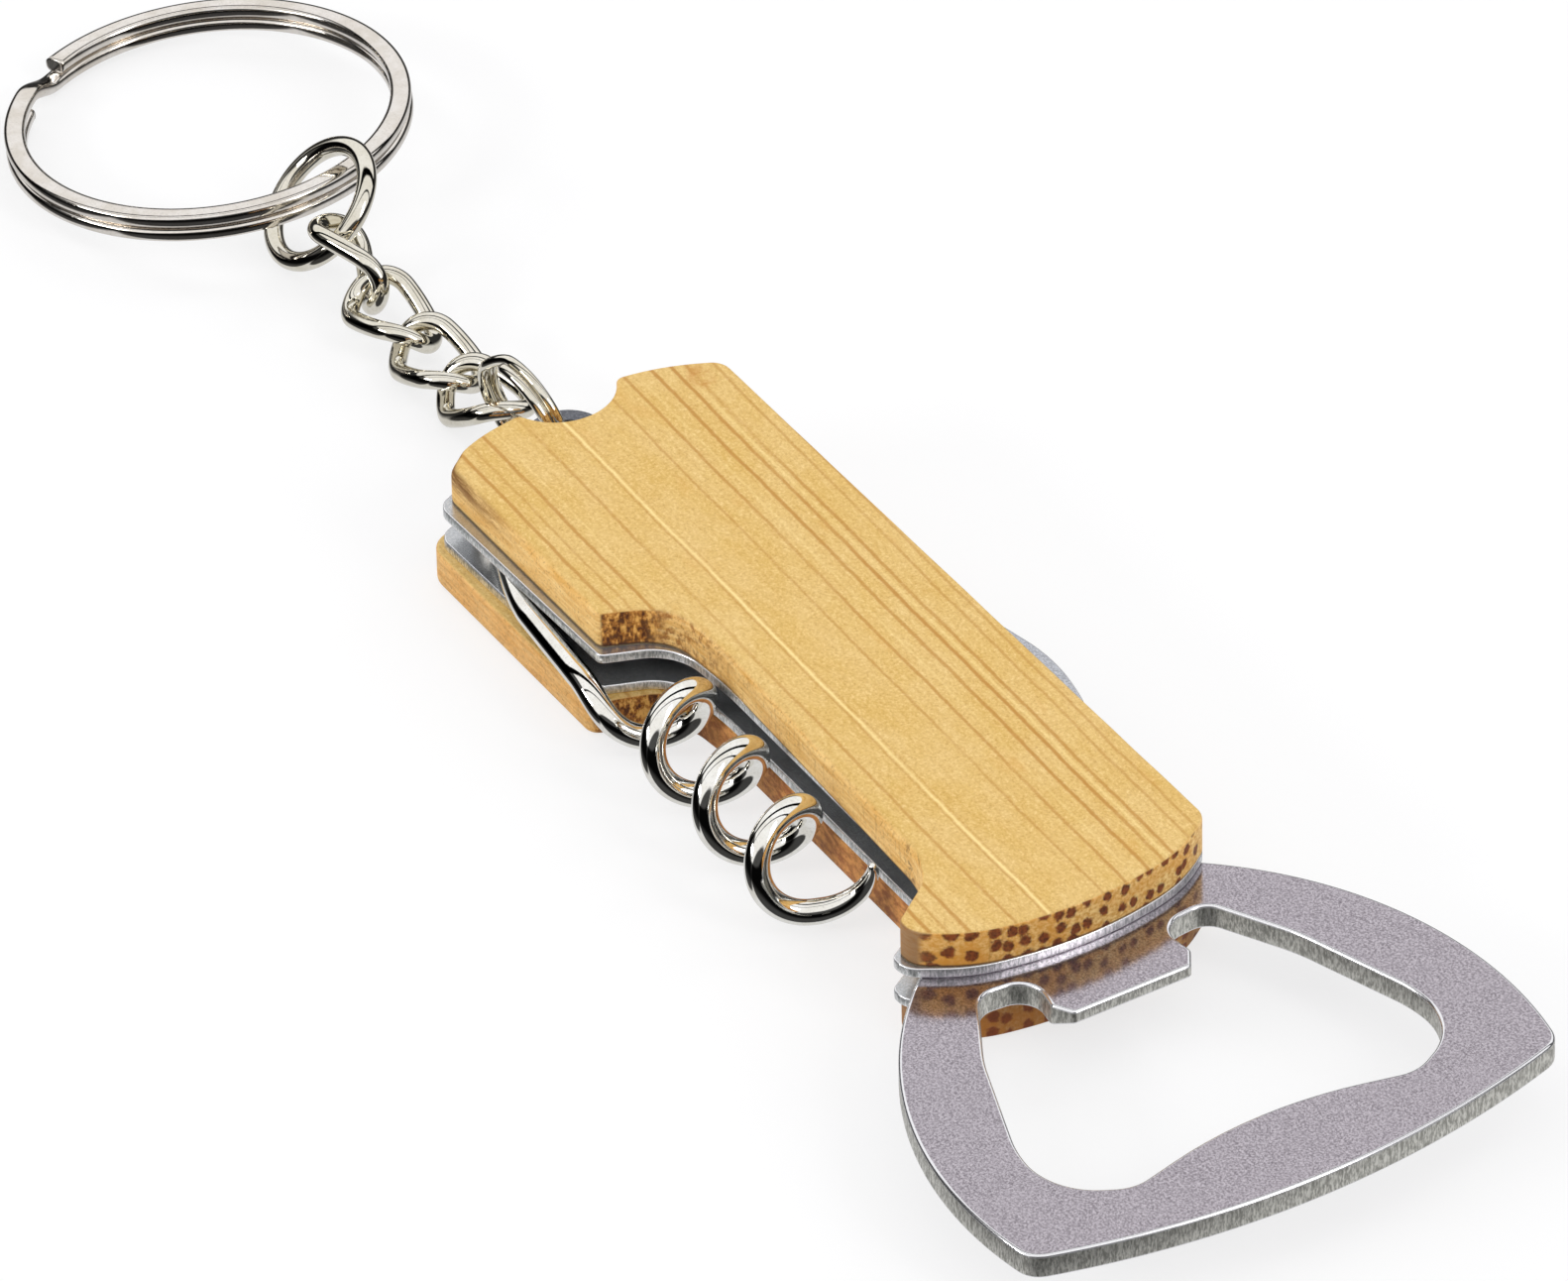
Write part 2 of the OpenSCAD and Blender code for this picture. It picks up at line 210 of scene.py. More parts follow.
def opener_outline():
    """Two side arcs and a front arc, with small soft tips."""
    side_r, front_r, front_x, half, back = 30.2, 71.0, 68.3, 22.47, 30.0
    cy = side_r - half
    cx = 58.0
    fx = front_x - front_r
    # where the upper side arc, centred (cx, -cy), meets the front arc, centred (fx, 0)
    d = math.hypot(cx - fx, cy)
    a = (front_r ** 2 - side_r ** 2 + d * d) / (2 * d)
    h = math.sqrt(front_r ** 2 - a * a)
    ux, uy = (cx - fx) / d, -cy / d
    tip = Vector((fx + a * ux - h * uy, a * uy + h * ux))
    # where it meets the straight back edge
    start = math.acos((back - cx) / side_r)
    tip_angle = math.atan2(tip.y + cy, tip.x - cx)
    upper = arc_points((cx, -cy), side_r, start, tip_angle, 70)
    front_angle = math.atan2(tip.y, tip.x - fx)
    front = arc_points((fx, 0), front_r, front_angle, -front_angle, 70)
    lower = [Vector((p.x, -p.y)) for p in reversed(upper)]
    loop = upper + front[1:-1] + lower
    return soften(thin(loop, 0.02), [tip, Vector((tip.x, -tip.y))], 1.0)


def soften(loop, corners, reach):
    """Rounds the named sharp corners over reach each side."""
    for c in corners:
        near = [i for i, p in enumerate(loop) if (p - c).length < reach]
        if not near:
            continue
        i0, i1 = min(near), max(near)
        a, b = loop[i0 - 1], loop[(i1 + 1) % len(loop)]
        bend = [a * (1 - t) ** 2 + c * 2 * t * (1 - t) + b * t * t
                for t in [k / 8 for k in range(1, 8)]]
        loop = loop[:i0] + bend + loop[i1 + 1:]
    return loop


def cap_opening():
    half, tooth = 16.35, 4.8
    side = [(42.7, 5.75, 0.5), (39.3, 5.2, 1.9), (38.9, 9.4, 1.9), (45.2, 12.9, 14),
            (54.5, half - 0.15, 10), (59.6, half + 0.35, 5.5), (62.35, 11.6, 3.4)]
    mirrored = [(x, -y, r) for x, y, r in reversed(side)]
    return rounded([(TOOTH_X, -tooth, 0.35), (TOOTH_X, tooth, 0.35)] + side
                   + [(59.5, 0, 33)] + mirrored)


def blade_outline():
    return rounded([
        (-28.8, 11.4, 4.15), (-19, 11.4, 12), (-6, 12.3, 40), (9.5, 15.7, 16),
        (17, 14.4, 14), (25.2, 7.9, 0.4), (17, 4.9, 22), (2, 4.1, 60),
        (-17.4, 4.3, 1.2), (-18.6, 5.5, 0.8), (-20.6, 3.0, 1.8), (-28.8, 3.0, 4.15)])


# ---- mesh making --------------------------------------------------------------

def inward(loop):
    """Unit inward normals of an anticlockwise outline."""
    n = len(loop)
    out = []
    for i in range(n):
        t = loop[(i + 1) % n] - loop[i - 1]
        out.append(Vector((-t.y, t.x)).normalized())
    return out


def finish_mesh(name, bm, all_smooth=True):
    bmesh.ops.recalc_face_normals(bm, faces=bm.faces)
    mesh = bpy.data.meshes.new(name)
    bm.to_mesh(mesh)
    bm.free()
    obj = bpy.data.objects.new(name, mesh)
    bpy.context.scene.collection.objects.link(obj)
    if all_smooth:
        for p in mesh.polygons:
            p.use_smooth = True
    return obj


def plate(name, outer, holes, z0, z1, top=0.1, bottom=None, steps=3):
    """A flat plate with rounded rims. top and bottom are the rim radii, or a function of the point."""
    bottom = top if bottom is None else bottom
    bm = bmesh.new()
    rims = ([], [])
    for number, loop in enumerate([outer] + list(holes)):
        loop = anticlockwise(list(loop))
        normals = inward(loop)
        sign = 1 if number == 0 else -1
        rings = []
        for k in range(steps + 1):
            rings.append((bottom, z0, 1, k / steps))
        for k in range(steps, -1, -1):
            rings.append((top, z1, -1, k / steps))
        rows = []
        for radius, z, up, t in rings:
            row = []
            for p, q in zip(loop, normals):
                r = radius(p) if callable(radius) else radius
                a = t * math.pi / 2
                at = p + sign * q * r * (1 - math.sin(a))
                height = z + up * r * (1 - math.cos(a))
                row.append(bm.verts.new((at.x * MM, at.y * MM, height * MM)))
            rows.append(row)
        count = len(loop)
        for a, b in zip(rows, rows[1:]):
            for i in range(count):
                j = (i + 1) % count
                f = bm.faces.new((a[i], a[j], b[j], b[i]))
                f.smooth = True
        for row, rim in ((rows[0], rims[0]), (rows[-1], rims[1])):
            rim += [bm.edges.get((row[i], row[(i + 1) % count])) for i in range(count)]
    for rim in rims:
        made = bmesh.ops.triangle_fill(bm, use_beauty=True, use_dissolve=False, edges=rim)
        for f in made["geom"]:
            if isinstance(f, bmesh.types.BMFace):
                f.smooth = False
    return finish_mesh(name, bm, all_smooth=False)


def tube(name, path, sides, half_w, half_h, closed, count=24, square=2.0):
    """A wire along a path of mm points. square over 2 flattens its section's sides.

    sides gives the direction of the section's width at each point.
    """
    bm = bmesh.new()
    n = len(path)
    rows = []
    for i in range(n):
        if closed:
            t = (path[(i + 1) % n] - path[i - 1]).normalized()
        else:
            t = (path[min(n - 1, i + 1)] - path[max(0, i - 1)]).normalized()
        u = (sides[i] - sides[i].dot(t) * t).normalized()
        v = t.cross(u)
        row = []
        for k in range(count):
            a = math.tau * k / count
            c, s = math.cos(a), math.sin(a)
            c = math.copysign(abs(c) ** (2 / square), c)
            s = math.copysign(abs(s) ** (2 / square), s)
            p = path[i] + half_w[i] * c * u + half_h[i] * s * v
            row.append(bm.verts.new(p * MM))
        rows.append(row)
    for i in range(n if closed else n - 1):
        a, b = rows[i], rows[(i + 1) % n]
        for k in range(count):
            j = (k + 1) % count
            bm.faces.new((a[k], a[j], b[j], b[k]))
    if not closed:
        for row, flip in ((rows[0], True), (rows[-1], False)):
            center = sum((v.co for v in row), Vector()) / count
            inner = [bm.verts.new(center + (v.co - center) * 0.82) for v in row]
            for k in range(count):
                j = (k + 1) % count
                bm.faces.new((row[k], row[j], inner[j], inner[k]))
            bm.faces.new(inner[::-1] if flip else inner)
    return finish_mesh(name, bm)


def turned(yaw, pitch, roll):
    return (Matrix.Rotation(math.radians(yaw), 3, "Z") @ Matrix.Rotation(math.radians(-pitch), 3, "Y")
            @ Matrix.Rotation(math.radians(roll), 3, "X"))


def placed(points, pos, yaw, pitch, roll):
    m = turned(yaw, pitch, roll)
    return [m @ p + Vector(pos) for p in points]


# ---- wires --------------------------------------------------------------------

def smooth(t):
    t = max(0.0, min(1.0, t))
    return t * t * (3 - 2 * t)


def bezier(a, b, c, d, t):
    return a * (1 - t) ** 3 + b * 3 * t * (1 - t) ** 2 + c * 3 * t * t * (1 - t) + d * t ** 3


WORM_START = Vector((-4.6, -10.35, Z_MID))
WORM_PITCH = 7.7
WORM_R = 3.1
WORM_TURNS = 3.55
WORM_FIRST = 235.0
WORM_LAST = 180 + 360 * WORM_TURNS
WORM_FLARE, FLARE_ANGLE, TAPER_ANGLE = 0.85, 110.0, 96.0
WORM_ANGLE = math.radians(-3)
WORM_WIRE = 1.9


def worm_point(phi):
    """A point of the helix, which opens out over its last part so that the tip lies outermost."""
    a = math.radians(phi)
    r = WORM_R + WORM_FLARE * smooth((phi - WORM_LAST + FLARE_ANGLE) / FLARE_ANGLE)
    run = WORM_PITCH * (phi - 180) / 360
    across = r * math.cos(a)
    c, s = math.cos(WORM_ANGLE), math.sin(WORM_ANGLE)
    return WORM_START + Vector((run * c - across * s, run * s + across * c, r * math.sin(a)))


def worm_path():
    """Points from the eye to the tip, and how thick the wire is at each."""
    eye = Vector((WORM_PIVOT[0] + 1.2, WORM_PIVOT[1] - 1.6, Z_MID))
    bend = Vector((-16.2, -12.6, Z_MID))
    shank = Vector((-8.6, -13.3, Z_MID))
    entry = worm_point(WORM_FIRST)
    lead = (worm_point(WORM_FIRST + 1) - entry).normalized()
    path = [bezier(eye, eye + Vector((2.9, -0.95, 0)), bend + Vector((-2.8, 0.35, 0)), bend, k / 20)
            for k in range(20)]
    path += [bend.lerp(shank, k / 14) for k in range(14)]
    path += [bezier(shank, shank + Vector((2.6, -0.1, 0)), entry - 2.2 * lead, entry, k / 20)
             for k in range(20)]
    half = [WORM_WIRE / 2] * len(path)
    steps = math.ceil((WORM_LAST - WORM_FIRST) / 4)
    for k in range(steps + 1):
        phi = WORM_FIRST + (WORM_LAST - WORM_FIRST) * k / steps
        left = (WORM_LAST - phi) / TAPER_ANGLE
        path.append(worm_point(phi))
        half.append(WORM_WIRE / 2 * (1 if left >= 1 else 0.2 + 0.8 * math.sqrt(left)))
    return path, half


def carried(path, side=Vector((0, 0, 1))):
    """A side direction for each point of an open path, turned as little as the path allows."""
    out = []
    n = len(path)
    for i in range(n):
        t = (path[min(n - 1, i + 1)] - path[max(0, i - 1)]).normalized()
        side = (side - side.dot(t) * t).normalized()
        out.append(side.copy())
    return out


def make_corkscrew():
    path, half = worm_path()
    wire = tube("corkscrew_wire", path, carried(path), half, half, False, 32)
    hole = circle(WORM_PIVOT, PIN_R + PIVOT_FIT)
    eye = plate("corkscrew_eye", circle(WORM_PIVOT, WORM_EYE_R, 72), [hole],
                Z_MID - BLADE_T / 2, Z_MID + BLADE_T / 2, 0.15)
    return wire, eye


LINK_LEN, LINK_WID, LINK_WIRE, LINK_TWIST = 9.3, 6.2, 1.4, -79.0


def link_turn(x):
    """How far the link is twisted at x along it."""
    return math.radians(LINK_TWIST * x / (LINK_LEN - LINK_WIRE))


def make_link(name, pos, yaw, pitch, roll):
    """A curb link: a wire oval, twisted along its length."""
    rc = (LINK_WID - LINK_WIRE) / 2
    s = (LINK_LEN - LINK_WID) / 2
    flat = [(s + rc * math.cos(a), rc * math.sin(a))
            for a in [math.radians(-90 + 6 * k) for k in range(30)]]
    flat += [(s - 2 * s * k / 10, rc) for k in range(10)]
    flat += [(-s + rc * math.cos(a), rc * math.sin(a))
             for a in [math.radians(90 + 6 * k) for k in range(30)]]
    flat += [(-s + 2 * s * k / 10, -rc) for k in range(10)]
    path, sides = [], []
    for x, y in flat:
        a = link_turn(x)
        path.append(Vector((x, y * math.cos(a), y * math.sin(a))))
    n = len(path)
    for i in range(n):
        t = (path[(i + 1) % n] - path[i - 1]).normalized()
        a = link_turn(path[i].x)
        sides.append(t.cross(Vector((0, -math.sin(a), math.cos(a)))))
    m = turned(yaw, pitch, roll)
    half = [LINK_WIRE / 2] * n
    return tube(name, placed(path, pos, yaw, pitch, roll), [m @ q for q in sides], half, half, True, 24)


def make_coil(name, r, step, half_w, half_h, step_at, ramp, gap, count, place, square=2.0):
    """A split ring: two turns that step from the lower to the upper over ramp degrees at step_at."""
    start = step_at + ramp - 360 + 2
    end = step_at + 360 - 2
    n = math.ceil((end - start) / gap)
    path = []
    for k in range(n + 1):
        deg = start + (end - start) * k / n
        a = math.radians(deg)
        h = step * (smooth((deg - step_at) / ramp) - 0.5)
        path.append(Vector((r * math.cos(a), r * math.sin(a), h)))
    sides = [Vector((p.x, p.y, 0)).normalized() for p in path]
    m = turned(*place[1:])
    return tube(name, placed(path, *place), [m @ q for q in sides], [half_w] * (n + 1),
                [half_h] * (n + 1), False, count, square)


def make_jump_ring():
    path = [p.to_3d() for p in circle((0, 0), JUMP_RING_R, 120)]
    place = PLACES["jump_ring"]
    m = turned(*place[1:])
    half = [JUMP_WIRE / 2] * len(path)
    return tube("jump_ring_wire", placed(path, *place), [m @ p.normalized() for p in path],
                half, half, True, 24)


# ---- node helpers ----------------------------------------------------------------

class Nodes:
    """Short calls for building a node tree. A value is a number, a colour or another node's output."""

    def __init__(self, tree):
        self.tree = tree

    def new(self, kind, **settings):
        node = self.tree.nodes.new(kind)
        for name, value in settings.items():
            setattr(node, name, value)
        return node

    def link(self, a, b):
        self.tree.links.new(a, b)

    def set(self, socket, value):
        if isinstance(value, bpy.types.NodeSocket):
            self.link(value, socket)
        else:
            socket.default_value = value

    def split(self, vector):
        n = self.new("ShaderNodeSeparateXYZ")
        self.link(vector, n.inputs[0])
        return n.outputs[0], n.outputs[1], n.outputs[2]

    def join(self, x, y, z):
        n = self.new("ShaderNodeCombineXYZ")
        for s, v in zip(n.inputs, (x, y, z)):
            self.set(s, v)
        return n.outputs[0]

    def math(self, op, a, b=0.0, c=0.0):
        n = self.new("ShaderNodeMath", operation=op)
        for s, v in zip(n.inputs, (a, b, c)):
            self.set(s, v)
        return n.outputs[0]

    def times(self, first, *others):
        """The product of all the values."""
        for value in others:
            first = self.math("MULTIPLY", first, value)
        return first

    def shift(self, value, wave, reach):
        """The value, moved up and down by a noise that is 0.5 on average."""
        return self.math("MULTIPLY_ADD", self.math("SUBTRACT", wave, 0.5), reach, value)

    def ramp(self, value, low, high, at_low=0.0, at_high=1.0):
        """at_low where the value is low and at_high where it is high, smoothly between."""
        n = self.new("ShaderNodeMapRange", interpolation_type="SMOOTHSTEP")
        self.set(n.inputs["Value"], value)
        for name, limit in (("From Min", low), ("From Max", high),
                            ("To Min", at_low), ("To Max", at_high)):
            n.inputs[name].default_value = limit
        return n.outputs["Result"]

    def stretch(self, vector, scale):
        n = self.new("ShaderNodeVectorMath", operation="MULTIPLY")
        self.link(vector, n.inputs[0])
        n.inputs[1].default_value = scale
        return n.outputs[0]

    def noise(self, vector, scale=1.0, detail=2.0, rough=0.5):
        n = self.new("ShaderNodeTexNoise")
        self.link(vector, n.inputs["Vector"])
        n.inputs["Scale"].default_value = scale
        n.inputs["Detail"].default_value = detail
        n.inputs["Roughness"].default_value = rough
        return n.outputs["Fac"]

    def field(self, a, a_scale, b, b_scale, third, detail, rough=0.5, scale=1.0):
        """Noise over two stretched values and a third one, which may be a number."""
        where = self.join(self.times(a, a_scale), self.times(b, b_scale), third)
        return self.noise(where, scale, detail, rough)

    def cells(self, vector, scale, jitter):
        """Distance to the nearest of many scattered points, in the vector's X and Y."""
        n = self.new("ShaderNodeTexVoronoi", voronoi_dimensions="2D")
        self.link(vector, n.inputs["Vector"])
        n.inputs["Scale"].default_value = scale
        n.inputs["Randomness"].default_value = jitter
        return n.outputs["Distance"]

    def mix(self, amount, a, b):
        n = self.new("ShaderNodeMix", data_type="RGBA")
        self.set(n.inputs["Factor"], amount)
        # sockets 6 and 7 are the two colours
        self.set(n.inputs[6], a)
        self.set(n.inputs[7], b)
        return n.outputs[2]

    def paint(self, base, mask, strength, colour):
        """The base with a display colour over it where the mask is."""
        return self.mix(self.times(mask, strength), base, srgb(*colour))


class Material(Nodes):
    """A material's node tree, with one Principled shader."""

    def __init__(self, name):
        self.mat = bpy.data.materials.new(name)
        self.mat.use_nodes = True
        super().__init__(self.mat.node_tree)
        self.tree.nodes.clear()
        self.out = self.new("ShaderNodeOutputMaterial")
        self.shader = self.new("ShaderNodeBsdfPrincipled")
        self.link(self.shader.outputs[0], self.out.inputs[0])
        where = self.new("ShaderNodeTexCoord")
        in_mm = self.new("ShaderNodeVectorMath", operation="SCALE")
        in_mm.inputs["Scale"].default_value = 1 / MM
        self.link(where.outputs["Object"], in_mm.inputs[0])
        self.place = in_mm.outputs[0]
        self.facing = where.outputs["Normal"]

    def bump(self, height, distance, strength):
        n = self.new("ShaderNodeBump")
        n.inputs["Strength"].default_value = strength
        n.inputs["Distance"].default_value = distance * MM
        self.link(height, n.inputs["Height"])
        return n.outputs[0]

    def use(self, name, value):
        self.set(self.shader.inputs[name], value)


def srgb(r, g, b):
    """A linear colour from 0-255 display values."""
    def one(c):
        c /= 255
        return c / 12.92 if c <= 0.04045 else ((c + 0.055) / 1.055) ** 2.4
    return (one(r), one(g), one(b), 1.0)


# ---- bamboo ----------------------------------------------------------------------

# grain lines: place across the handle at GRAIN_X, half width, strength
DARK_GRAIN = (
    (-10.2, 0.17, 0.95), (-9.1, 0.13, 0.5), (-7.8, 0.17, 0.85), (-4.6, 0.15, 0.65),
    (-2.33, 0.1, 0.55), (-1.75, 0.08, 0.35), (2.3, 0.13, 0.6), (4.3, 0.15, 0.8), (6.4, 0.17, 0.95),
    (7.8, 0.17, 1.0), (8.8, 0.16, 0.85), (10.65, 0.14, 0.6), (11.7, 0.14, 0.6))
PALE_GRAIN = ((-2.05, 0.13, 1.0), (-6.9, 0.1, 0.3), (5.2, 0.12, 0.3), (8.3, 0.14, 0.45))
GRAIN_X = -18.0
GRAIN_SLOPE = 0.0175
AMBER_MARK = (-28.4, 9.3)


def grain_lines(m, y, x, lines):
    """The strongest of several long lines at each point."""
    total = None
    for number, (at, half, strength) in enumerate(lines):
        # each line fades in and out along its length, in its own way
        fade = m.noise(m.join(m.times(x, 0.06), 7.3 * number + 1.7, 0.0), 1.0, 2)
        fade = m.math("MULTIPLY_ADD", m.ramp(fade, 0.22, 0.52), 0.55 * strength, 0.45 * strength)
        away = m.math("ABSOLUTE", m.math("SUBTRACT", y, at))
        line = m.times(m.ramp(away, half * 1.35, half * 0.35), fade)
        total = line if total is None else m.math("MAXIMUM", total, line)
    return total


def bamboo_flat(m, x, y, fleck, sand):
    """The flats: their colour, their dark grain lines and their fibres."""
    # the lines run slightly askew, and a slow drift keeps them from being ruled straight
    askew = m.math("MULTIPLY_ADD", m.math("SUBTRACT", x, GRAIN_X), GRAIN_SLOPE, y)
    bent = m.shift(askew, m.field(x, 0.05, y, 0.03, 3.1, 3), 0.7)
    bent = m.shift(bent, m.field(x, 0.5, y, 0.6, 9.0, 2), 0.2)

    blotch = m.field(x, 0.12, y, 0.28, 0.0, 4, 0.6)
    colour = m.mix(m.ramp(blotch, 0.3, 0.7), srgb(226, 191, 121), srgb(219, 180, 99))
    fibre = m.field(x, 0.16, bent, 2.6, 5.0, 5, 0.65)
    colour = m.paint(colour, m.ramp(fibre, 0.5, 0.78), 0.5, (206, 160, 78))
    colour = m.paint(colour, m.ramp(fleck, 0.5, 0.74), 0.38, (202, 152, 76))
    colour = m.paint(colour, m.ramp(fleck, 0.5, 0.28), 0.34, (246, 214, 150))
    colour = m.paint(colour, m.ramp(sand, 0.5, 0.72), 0.6, (188, 140, 68))
    colour = m.paint(colour, m.ramp(sand, 0.5, 0.3), 0.5, (250, 224, 164))
    dark = grain_lines(m, bent, x, DARK_GRAIN)
    colour = m.paint(colour, dark, 0.8, (186, 128, 48))
    colour = m.paint(colour, grain_lines(m, bent, x, PALE_GRAIN), 0.62, (255, 232, 164))

    # an amber mark by the far corner, and a few faint ones elsewhere
    along = m.math("SUBTRACT", x, AMBER_MARK[0])
    across = m.times(m.math("SUBTRACT", y, AMBER_MARK[1]), 1.4)
    away = m.math("ADD", m.math("POWER", along, 2), m.math("POWER", across, 2))
    spot = m.times(m.ramp(away, 3.4, 0.2), m.ramp(m.noise(m.place, 1.3, 3), 0.35, 0.6))
    colour = m.paint(colour, spot, 0.6, (196, 132, 54))
    stains = m.ramp(m.noise(m.stretch(m.place, (0.16, 0.4, 0.4)), 1.0, 3), 0.62, 0.8)
    colour = m.paint(colour, stains, 0.4, (218, 164, 84))
    return colour, dark, fibre


def bamboo_side(m, x, y, z, brown_and_shade, fibre, in_recess, sand):
    """The long walls: fibres and short dark dashes on a honey paler than the flats' as painted light,
    browner and blotchy on the bottom cover and most in its recess, partly as painted shade.
    """
    # painted light: the walls' honey is paler than the flats' so the walls read as lit; the fibre mix
    # in it is the bamboo's own
    side = m.mix(m.ramp(fibre, 0.3, 0.7), srgb(248, 210, 138), srgb(226, 172, 88))
    dashes = m.field(x, 0.9, z, 4.6, m.math("ADD", y, 4), 2)
    side = m.paint(side, m.ramp(dashes, 0.62, 0.76), 0.45, (176, 116, 48))
    mottle = m.noise(m.stretch(m.place, (0.9, 0.9, 1.6)), 1.0, 4, 0.7)
    shaded_brown = m.mix(m.ramp(mottle, 0.38, 0.64), srgb(226, 160, 88), srgb(168, 100, 50))
    # painted shade in part: the bottom cover's walls turn browner and blotchy, most in the recess under
    # the liners
    brown_and_shade_amount = m.times(m.math("MULTIPLY_ADD", in_recess, 0.65, 0.35), brown_and_shade)
    side = m.mix(brown_and_shade_amount, side, shaded_brown)
    # the head's narrow -Y wall is dark
    by_head = m.times(m.ramp(x, 31.5, 33.5), m.ramp(y, -10.8, -11.8))
    side = m.paint(side, by_head, 0.75, (122, 82, 62))
    # specks, and brown tears where the recess wall turns into its end wall
    side = m.paint(side, m.ramp(sand, 0.5, 0.72), 0.7, (166, 110, 46))
    tears = m.field(x, 1.3, z, 1.1, m.math("ADD", y, 9), 5, 0.75, 1.1)
    turned_in = m.times(m.ramp(x, 3.2, -3.5), in_recess)
    return m.paint(side, m.times(turned_in, m.ramp(tears, 0.44, 0.6)), 0.85, (150, 88, 30))


def bamboo_ends(m, x, y, z, brown_and_shade, torn):
    """End grain: ragged brown bundles on honey, larger towards -Y. Also where the bundles are."""
    ragged = m.field(y, 2.6, z, 2.6, 2.0, 4, 0.75)
    spot_y = m.shift(y, m.field(y, 1.3, z, 1.3, 11.0, 3, 0.7), 0.6)
    spot_z = m.shift(m.times(z, 0.86), m.field(y, 1.3, z, 1.3, 17.0, 3, 0.7), 0.6)
    near = m.shift(m.cells(m.join(spot_y, spot_z, 0.0), 0.78, 0.6), ragged, 0.26)
    limit = m.math("MULTIPLY_ADD", m.ramp(y, 10, -8), 0.07, 0.285)
    bundle = m.math("SUBTRACT", 1.0, m.ramp(m.math("DIVIDE", near, limit), 0.7, 1.25))

    pith = m.field(y, 2.4, z, 2.4, 0.0, 4, 0.7, 1.2)
    ends = m.mix(m.ramp(pith, 0.36, 0.62), srgb(252, 218, 146), srgb(216, 160, 76))
    amber = m.ramp(m.field(y, 0.5, z, 0.5, 7.0, 2), 0.42, 0.62)
    ends = m.paint(ends, m.math("ADD", amber, m.ramp(y, 4, -9)), 0.42, (222, 150, 52))
    brown = m.mix(m.ramp(ragged, 0.36, 0.6), srgb(74, 24, 8), srgb(136, 62, 22))
    ends = m.mix(m.times(bundle, 0.95), ends, brown)
    # painted shade in part: the bottom cover's end grain is browner
    ends = m.mix(0.55 * brown_and_shade, ends, srgb(150, 78, 34))

    # the recess's end wall: torn upright fibres, dark in between
    in_end_wall = m.times(m.ramp(y, -5.4, -6.4), m.ramp(x, 8, -5.0))
    tear = m.mix(m.ramp(torn, 0.40, 0.5), srgb(240, 186, 98), srgb(176, 112, 44))
    tear = m.paint(tear, m.ramp(torn, 0.5, 0.58), 1.0, (84, 44, 16))
    return m.mix(m.times(in_end_wall, 0.95), ends, tear), bundle


def bamboo(name, brown_and_shade):
    """Pale bamboo: thin grain lines on the flats, fibres on the walls, bundles in the end grain."""
    m = Material(name)
    x, y, z = m.split(m.place)
    nx, _, nz = m.split(m.facing)
    on_flat = m.ramp(m.math("ABSOLUTE", nz), 0.55, 0.92)
    on_end = m.ramp(m.math("ABSOLUTE", nx), 0.55, 0.86)
    fleck = m.field(x, 1.1, y, 3.4, z, 4, 0.7, 1.4)
    sand = m.noise(m.place, 4.5, 3, 0.8)
    side_fibre = m.field(x, 0.3, z, 3.2, y, 4, 0.65)
    torn = m.field(m.math("MULTIPLY_ADD", x, 0.6, y), 1.5, z, 0.8, 4.0, 5, 0.72, 1.1)
    in_recess = m.times(m.ramp(y, -9.5, -7.5), m.ramp(y, -4.0, -5.5))

    colour, dark, fibre = bamboo_flat(m, x, y, fleck, sand)
    side = bamboo_side(m, x, y, z, brown_and_shade, side_fibre, in_recess, sand)
    ends, bundle = bamboo_ends(m, x, y, z, brown_and_shade, torn)
    # painted shade: the top cover's lower edge is darkened where it sits on the liner, as a contact
    # shadow
    contact_shade = m.times(m.ramp(z, Z_SCALE_2 + 0.3, Z_SCALE_2 + 0.1), m.ramp(z, SCALE_T, SCALE_T + 0.5))
    ends = m.paint(ends, contact_shade, 0.85, (72, 40, 24))
    side = m.paint(side, contact_shade, 0.8, (92, 60, 34))
    # partly a scorched edge and partly painted shade on the wall below the rim, at the chain end's -Y
    # corner
    scorch_and_shade = m.times(m.ramp(x, -17.0, -29.0), m.ramp(y, -8.5, -10.5), m.ramp(z, 7.4, 9.0),
                     m.ramp(side_fibre, 0.25, 0.6))
    side = m.paint(side, scorch_and_shade, 0.9, (104, 62, 28))
    ends = m.paint(ends, scorch_and_shade, 0.9, (104, 62, 28))
    walls = m.mix(on_end, side, ends)
    # a short torn notch at the recess's other end
    notch = m.times(m.ramp(x, 25.2, 26.6), m.ramp(x, 29.4, 28.2),
                    m.ramp(torn, 0.5, 0.6), m.ramp(y, -6.5, -7.0))
    walls = m.paint(walls, notch, 0.8, (112, 62, 24))
    scratch = m.ramp(m.noise(m.stretch(m.place, (3.2, 3.2, 0.5)), 1.0, 3), 0.56, 0.7)
    walls = m.paint(walls, m.times(scratch, in_recess), 0.35, (170, 112, 44))

    m.use("Base Color", m.mix(on_flat, walls, colour))
    m.use("Roughness", m.math("MULTIPLY_ADD", fleck, 0.16, 0.46))
    m.use("Specular IOR Level", 0.35)
    grooves = m.math("MULTIPLY_ADD", dark, -0.35, m.times(fibre, 0.8))
    height = m.math("ADD", grooves, m.math("MULTIPLY_ADD", sand, 0.35, m.times(fleck, 0.5)))
    pits = m.times(bundle, on_end, -1.4)
    m.use("Normal", m.bump(m.math("ADD", height, pits), 0.05, 0.55))
    return m.mat


# ---- metals ----------------------------------------------------------------------

